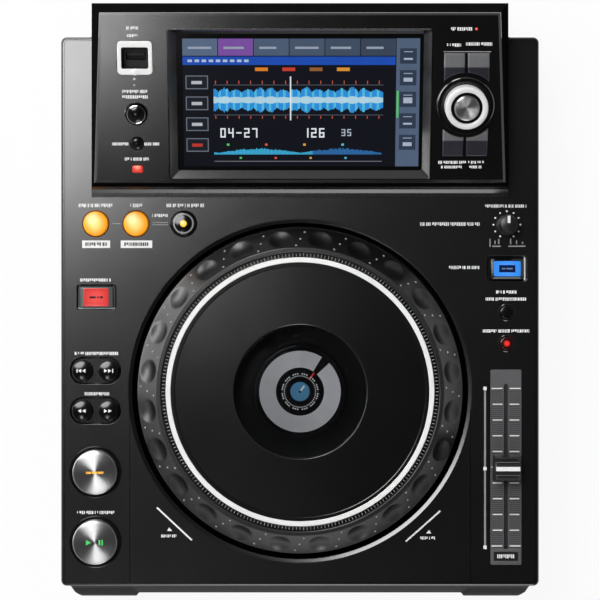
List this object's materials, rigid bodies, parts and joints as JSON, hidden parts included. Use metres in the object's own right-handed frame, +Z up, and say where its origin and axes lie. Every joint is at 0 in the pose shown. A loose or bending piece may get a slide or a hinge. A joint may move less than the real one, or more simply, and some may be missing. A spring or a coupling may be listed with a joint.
{
  "type": "dj media player",
  "caption": "Table-top player for USB sticks with a sloping display console, a large jog wheel, transport buttons and a tempo fader.",
  "frame": {"origin": "on the table under the middle of the whole player", "axes": "+Z up, -Y towards the user, +Y towards the sockets, +X to the user's right"},
  "size_m": [0.306, 0.3879, 0.1102],
  "materials": {
    "case_black": "fine moulded texture",
    "deck_black": "satin",
    "foot_rubber": "matt",
    "console_black": "satin",
    "bezel_gloss": "polished",
    "screen_glass": "polished, lit from behind",
    "bare_metal": "plain",
    "board_green": "solder mask",
    "board_brown": "solder mask",
    "white_plastic": "smooth",
    "port_steel": "plated",
    "bowl_black": "matt",
    "bearing_bronze": "machined",
    "display_dark": "smooth",
    "plate_grey": "satin",
    "terminal_black": "satin",
    "port_black": "smooth",
    "jog_black": "satin",
    "platter_black": "semi-gloss",
    "window_clear": "clear, tinted",
    "hub_grey": "moulded",
    "selector_chrome": "turned",
    "key_gloss": "polished",
    "red_lens": "lit lens",
    "amber_lens": "lit lens",
    "blue_lens": "lit lens",
    "brushed_metal": "spun in circles",
    "knob_black": "satin"
  },
  "bodies": {
    "root": {"lower_case": "case_black", "base_plate": "case_black", "deck_panel": "deck_black", "foot_front_left": "foot_rubber", "foot_front_right": "foot_rubber", "foot_rear_left": "foot_rubber", "foot_rear_right": "foot_rubber", "console_housing": "console_black", "console_face": "console_black", "screen_bezel": "bezel_gloss", "touch_glass": "screen_glass", "lcd_module": "bare_metal", "console_board": "board_green", "usb_frame": "white_plastic", "usb_socket": "port_steel", "jog_bowl": "bowl_black", "jog_bearing": "bearing_bronze", "jog_display": "display_dark", "fader_plate": "plate_grey", "fader_body": "bare_metal", "left_board": "board_green", "right_board": "board_green", "main_board": "board_green", "power_supply": "board_brown", "terminal_plate": "terminal_black", "ac_inlet": "port_black", "lan_socket": "port_steel", "usb_b_socket": "port_steel", "audio_jacks": "port_black"},
    "jog_wheel": {"jog_ring": "jog_black", "jog_plate": "platter_black", "jog_trim": "white_plastic", "jog_window": "window_clear", "jog_hub": "hub_grey", "jog_encoder": "hub_grey"},
    "selector_stem": {"selector_plunger": "bare_metal"},
    "selector_knob": {"selector_knob": "selector_chrome"},
    "back_button": {"back_button": "key_gloss"},
    "tag_button": {"tag_button": "key_gloss"},
    "filter_button": {"filter_button": "key_gloss"},
    "shortcut_button": {"shortcut_button": "key_gloss"},
    "usb_stop_button": {"usb_stop_button": "key_gloss"},
    "time_mode_button": {"time_mode_button": "key_gloss"},
    "quantize_button": {"quantize_button": "red_lens"},
    "loop_in_button": {"loop_in_button": "amber_lens"},
    "loop_out_button": {"loop_out_button": "amber_lens"},
    "reloop_button": {"reloop_button": "key_gloss"},
    "direction_button": {"direction_button": "red_lens"},
    "track_back_button": {"track_back_button": "key_gloss"},
    "track_forward_button": {"track_forward_button": "key_gloss"},
    "search_back_button": {"search_back_button": "key_gloss"},
    "search_forward_button": {"search_forward_button": "key_gloss"},
    "cue_button": {"cue_button": "brushed_metal"},
    "play_button": {"play_button": "brushed_metal"},
    "speed_knob": {"speed_knob": "knob_black"},
    "jog_mode_button": {"jog_mode_button": "blue_lens"},
    "tempo_range_button": {"tempo_range_button": "key_gloss"},
    "master_tempo_button": {"master_tempo_button": "red_lens"},
    "fader_cap": {"fader_cap": "knob_black"},
    "power_button": {"power_button": "port_black"}
  },
  "joints": [
    {"name": "jog_turn", "type": "hinge", "parent": "root", "child": "jog_wheel", "pos_m": [0, -0.0542, 0.07], "axis": [0, 0, 1], "continuous": true},
    {"name": "selector_press", "type": "slide", "parent": "root", "child": "selector_stem", "axis": [0, 0.2641, -0.9645], "range_m": [0, 0.0006], "stiffness_N_per_m": 600, "springref_m": -0.001},
    {"name": "selector_turn", "type": "hinge", "parent": "selector_stem", "child": "selector_knob", "pos_m": [0.1031, 0.12537, 0.09489], "axis": [0, -0.2641, 0.9645], "continuous": true},
    {"name": "back_press", "type": "slide", "parent": "root", "child": "back_button", "axis": [0, 0.2641, -0.9645], "range_m": [0, 0.0008], "stiffness_N_per_m": 400, "springref_m": -0.001},
    {"name": "tag_press", "type": "slide", "parent": "root", "child": "tag_button", "axis": [0, 0.2641, -0.9645], "range_m": [0, 0.0008], "stiffness_N_per_m": 400, "springref_m": -0.001},
    {"name": "filter_press", "type": "slide", "parent": "root", "child": "filter_button", "axis": [0, 0.2641, -0.9645], "range_m": [0, 0.0008], "stiffness_N_per_m": 400, "springref_m": -0.001},
    {"name": "shortcut_press", "type": "slide", "parent": "root", "child": "shortcut_button", "axis": [0, 0.2641, -0.9645], "range_m": [0, 0.0008], "stiffness_N_per_m": 400, "springref_m": -0.001},
    {"name": "usb_stop_press", "type": "slide", "parent": "root", "child": "usb_stop_button", "axis": [0, 0.2641, -0.9645], "range_m": [0, 0.0008], "stiffness_N_per_m": 400, "springref_m": -0.001},
    {"name": "time_mode_press", "type": "slide", "parent": "root", "child": "time_mode_button", "axis": [0, 0.2641, -0.9645], "range_m": [0, 0.0008], "stiffness_N_per_m": 400, "springref_m": -0.001},
    {"name": "quantize_press", "type": "slide", "parent": "root", "child": "quantize_button", "axis": [0, 0.2641, -0.9645], "range_m": [0, 0.0008], "stiffness_N_per_m": 400, "springref_m": -0.001},
    {"name": "loop_in_press", "type": "slide", "parent": "root", "child": "loop_in_button", "axis": [0, 0, -1], "range_m": [0, 0.001], "stiffness_N_per_m": 400, "springref_m": -0.001},
    {"name": "loop_out_press", "type": "slide", "parent": "root", "child": "loop_out_button", "axis": [0, 0, -1], "range_m": [0, 0.001], "stiffness_N_per_m": 400, "springref_m": -0.001},
    {"name": "reloop_press", "type": "slide", "parent": "root", "child": "reloop_button", "axis": [0, 0, -1], "range_m": [0, 0.001], "stiffness_N_per_m": 400, "springref_m": -0.001},
    {"name": "direction_press", "type": "slide", "parent": "root", "child": "direction_button", "axis": [0, 0, -1], "range_m": [0, 0.001], "stiffness_N_per_m": 400, "springref_m": -0.001},
    {"name": "track_back_press", "type": "slide", "parent": "root", "child": "track_back_button", "axis": [0, 0, -1], "range_m": [0, 0.001], "stiffness_N_per_m": 400, "springref_m": -0.001},
    {"name": "track_forward_press", "type": "slide", "parent": "root", "child": "track_forward_button", "axis": [0, 0, -1], "range_m": [0, 0.001], "stiffness_N_per_m": 400, "springref_m": -0.001},
    {"name": "search_back_press", "type": "slide", "parent": "root", "child": "search_back_button", "axis": [0, 0, -1], "range_m": [0, 0.001], "stiffness_N_per_m": 400, "springref_m": -0.001},
    {"name": "search_forward_press", "type": "slide", "parent": "root", "child": "search_forward_button", "axis": [0, 0, -1], "range_m": [0, 0.001], "stiffness_N_per_m": 400, "springref_m": -0.001},
    {"name": "jog_mode_press", "type": "slide", "parent": "root", "child": "jog_mode_button", "axis": [0, 0, -1], "range_m": [0, 0.001], "stiffness_N_per_m": 400, "springref_m": -0.001},
    {"name": "cue_press", "type": "slide", "parent": "root", "child": "cue_button", "axis": [0, 0, -1], "range_m": [0, 0.0015], "stiffness_N_per_m": 600, "springref_m": -0.001},
    {"name": "play_press", "type": "slide", "parent": "root", "child": "play_button", "axis": [0, 0, -1], "range_m": [0, 0.0015], "stiffness_N_per_m": 600, "springref_m": -0.001},
    {"name": "tempo_range_press", "type": "slide", "parent": "root", "child": "tempo_range_button", "axis": [0, 0, -1], "range_m": [0, 0.0008], "stiffness_N_per_m": 400, "springref_m": -0.001},
    {"name": "master_tempo_press", "type": "slide", "parent": "root", "child": "master_tempo_button", "axis": [0, 0, -1], "range_m": [0, 0.0008], "stiffness_N_per_m": 400, "springref_m": -0.001},
    {"name": "speed_turn", "type": "hinge", "parent": "root", "child": "speed_knob", "pos_m": [0.1324, 0.0522, 0.062], "axis": [0, 0, 1], "range_deg": [-150, 150]},
    {"name": "tempo_slide", "type": "slide", "parent": "root", "child": "fader_cap", "axis": [0, 1, 0], "range_m": [-0.05, 0.05]},
    {"name": "power_press", "type": "slide", "parent": "root", "child": "power_button", "axis": [0, -1, 0], "range_m": [0, 0.0025], "stiffness_N_per_m": 400, "springref_m": -0.001}
  ]
}
